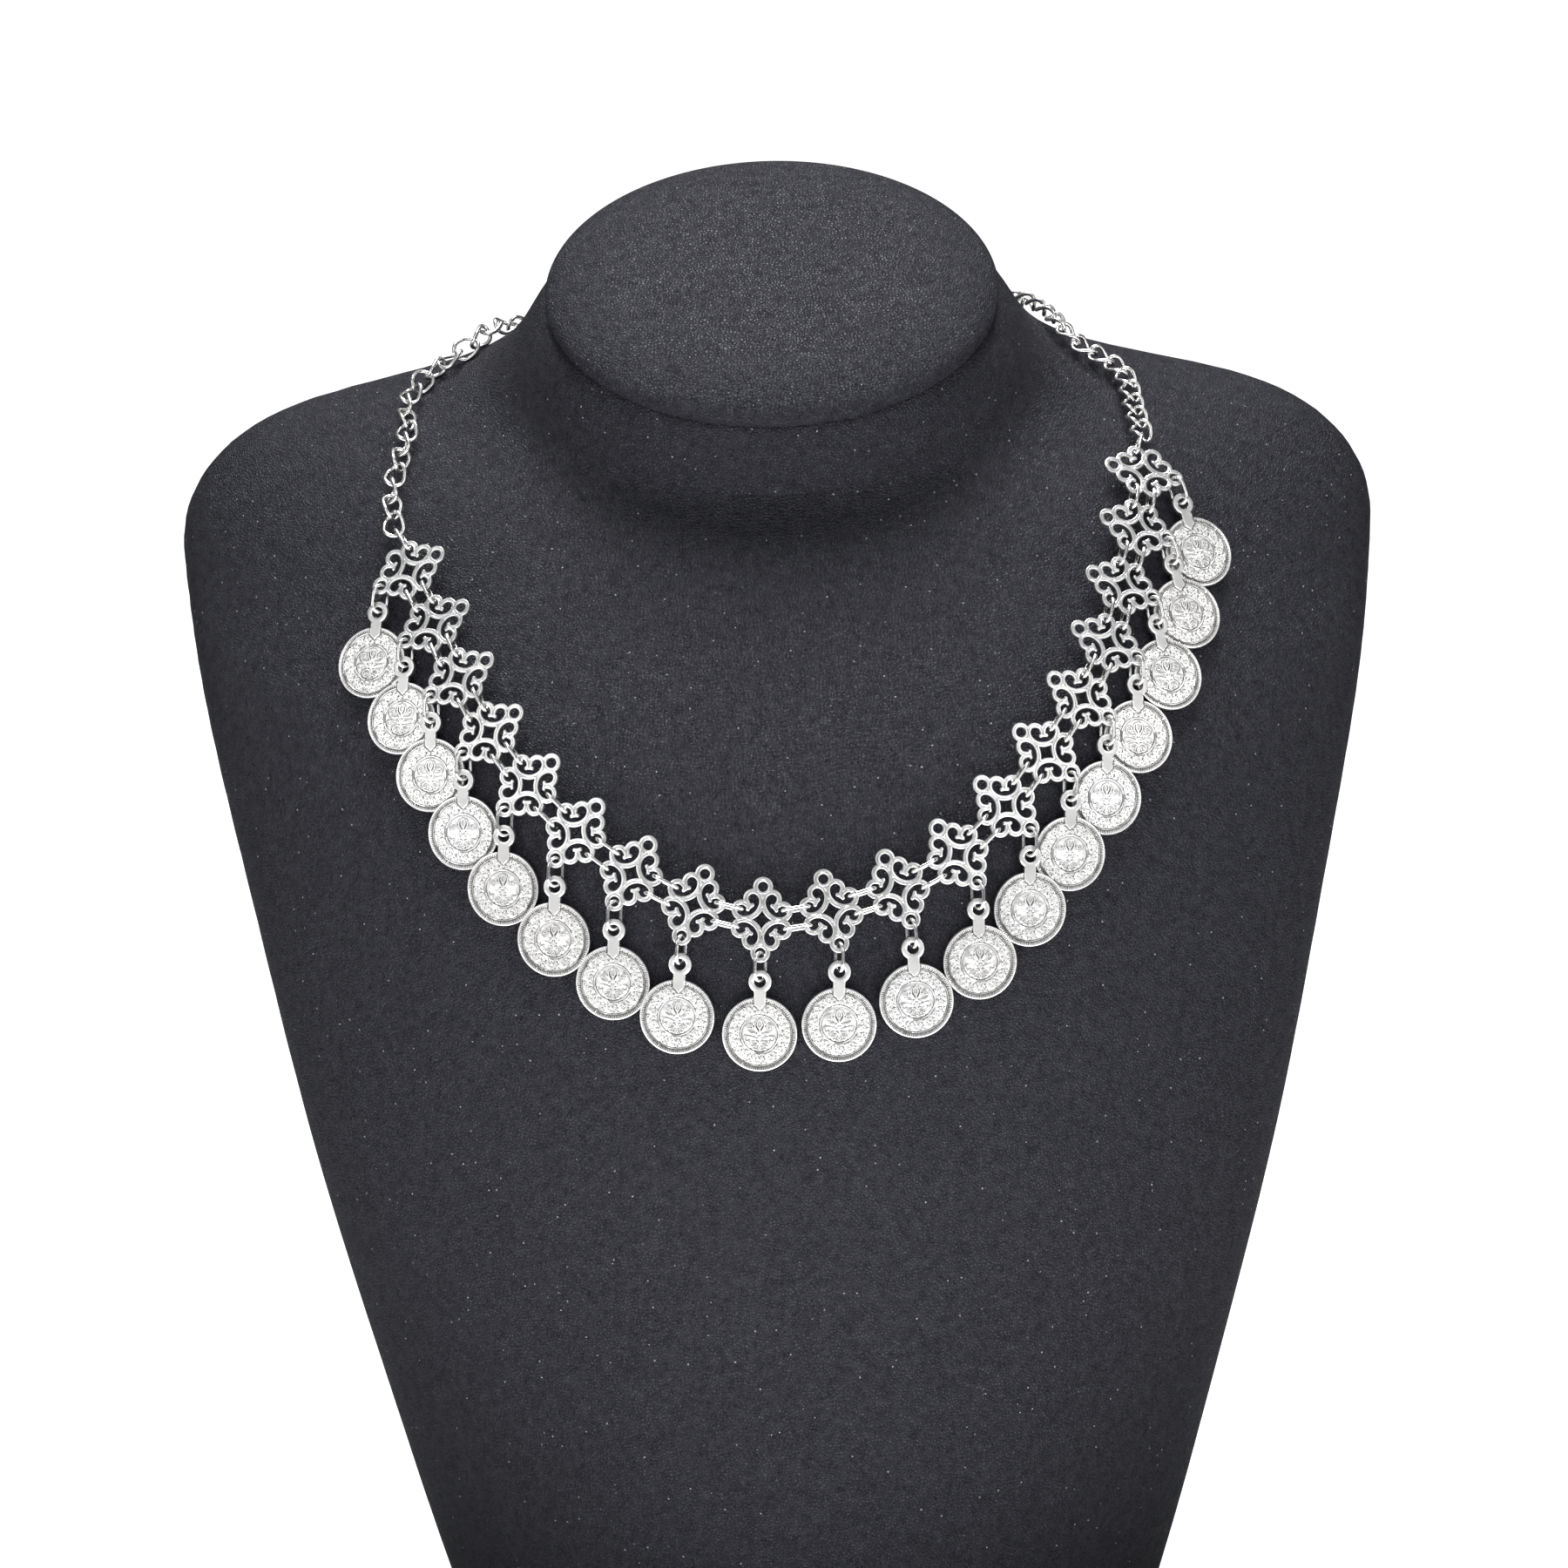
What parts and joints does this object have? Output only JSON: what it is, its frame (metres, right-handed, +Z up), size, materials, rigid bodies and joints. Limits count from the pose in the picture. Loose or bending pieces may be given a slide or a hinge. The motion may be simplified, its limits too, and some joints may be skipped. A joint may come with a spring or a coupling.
{
  "type": "coin necklace on neck bust",
  "caption": "Silver-tone necklace of openwork square plates joined by jump rings, a coin hung from each and a curb chain behind, on a matte black padded neck bust",
  "frame": {"origin": "on the flat base of the bust, midway between its sides, on the ground", "axes": "+Z up, the chest faces -Y, +X to the right of someone facing the chest"},
  "size_m": [0.2554, 0.1307, 0.3064],
  "materials": {
    "leatherette": "matte, fine grain",
    "plate_silver": "antique silver plate, satin, dark in its recesses",
    "coin_silver": "antique silver plate, struck relief with grey recesses",
    "ring_silver": "polished silver-tone wire"
  },
  "bodies": {
    "root": {"bust_body": "leatherette", "chain_end_rings": "ring_silver", "chain_left": "ring_silver", "chain_right": "ring_silver", "clasp": "ring_silver", "coin_01": "coin_silver", "coin_02": "coin_silver", "coin_03": "coin_silver", "coin_04": "coin_silver", "coin_05": "coin_silver", "coin_06": "coin_silver", "coin_07": "coin_silver", "coin_08": "coin_silver", "coin_09": "coin_silver", "coin_10": "coin_silver", "coin_11": "coin_silver", "coin_12": "coin_silver", "coin_13": "coin_silver", "coin_14": "coin_silver", "coin_15": "coin_silver", "coin_16": "coin_silver", "coin_17": "coin_silver", "coin_18": "coin_silver", "coin_19": "coin_silver", "coin_rings": "ring_silver", "neck_cap": "leatherette", "plate_01": "plate_silver", "plate_02": "plate_silver", "plate_03": "plate_silver", "plate_04": "plate_silver", "plate_05": "plate_silver", "plate_06": "plate_silver", "plate_07": "plate_silver", "plate_08": "plate_silver", "plate_09": "plate_silver", "plate_10": "plate_silver", "plate_11": "plate_silver", "plate_12": "plate_silver", "plate_13": "plate_silver", "plate_14": "plate_silver", "plate_15": "plate_silver", "plate_16": "plate_silver", "plate_17": "plate_silver", "plate_18": "plate_silver", "plate_19": "plate_silver", "side_rings_left": "ring_silver", "side_rings_right": "ring_silver"}
  },
  "joints": []
}
